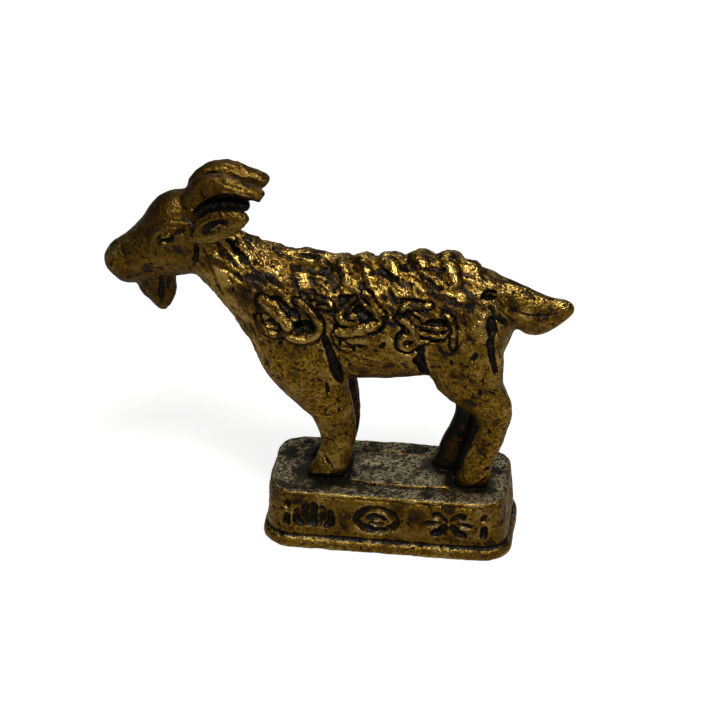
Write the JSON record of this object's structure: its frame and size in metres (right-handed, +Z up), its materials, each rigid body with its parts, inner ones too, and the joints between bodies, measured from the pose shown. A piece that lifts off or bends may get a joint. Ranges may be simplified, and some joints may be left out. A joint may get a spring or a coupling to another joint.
{
  "type": "goat figurine",
  "caption": "Small cast brass goat with swept-back horns, curled fleece and a short tail, standing on a rounded oblong plinth with ornament round its sides",
  "frame": {"origin": "centre of the plinth's flat underside", "axes": "+Z up, +X towards the tail, the head faces -X, and -Y is the goat's left side"},
  "size_m": [0.0317, 0.0082, 0.027],
  "materials": {
    "body_brass": "cast brass, dark brown patina in the hollows, rubbed on the high points",
    "worn_brass": "cast brass rubbed bright, patina only in the grooves",
    "plinth_brass": "pitted cast brass with a grey-olive patina and worn edges"
  },
  "bodies": {
    "root": {"base_plate": "plinth_brass", "plinth_block": "plinth_brass", "ground_patch": "plinth_brass", "torso": "body_brass", "neck": "body_brass", "head": "body_brass", "horn_left": "body_brass", "horn_right": "body_brass", "ear_left": "body_brass", "ear_right": "body_brass", "beard": "body_brass", "tail": "worn_brass", "front_leg_left": "body_brass", "front_leg_right": "body_brass", "rear_leg_left": "body_brass", "rear_leg_right": "body_brass", "scroll_collar_left": "worn_brass", "scroll_shoulder_left": "worn_brass", "scroll_collar_right": "worn_brass", "scroll_shoulder_right": "worn_brass", "scroll_middle_left": "worn_brass", "scroll_middle_right": "worn_brass", "scroll_rear_left": "worn_brass", "scroll_haunch_left": "worn_brass", "scroll_rear_right": "worn_brass", "scroll_haunch_right": "worn_brass", "mane_crest": "worn_brass", "back_lock_1": "worn_brass", "back_lock_2": "worn_brass", "back_lock_3": "worn_brass", "back_lock_4": "worn_brass", "back_lock_5": "worn_brass"}
  },
  "joints": []
}
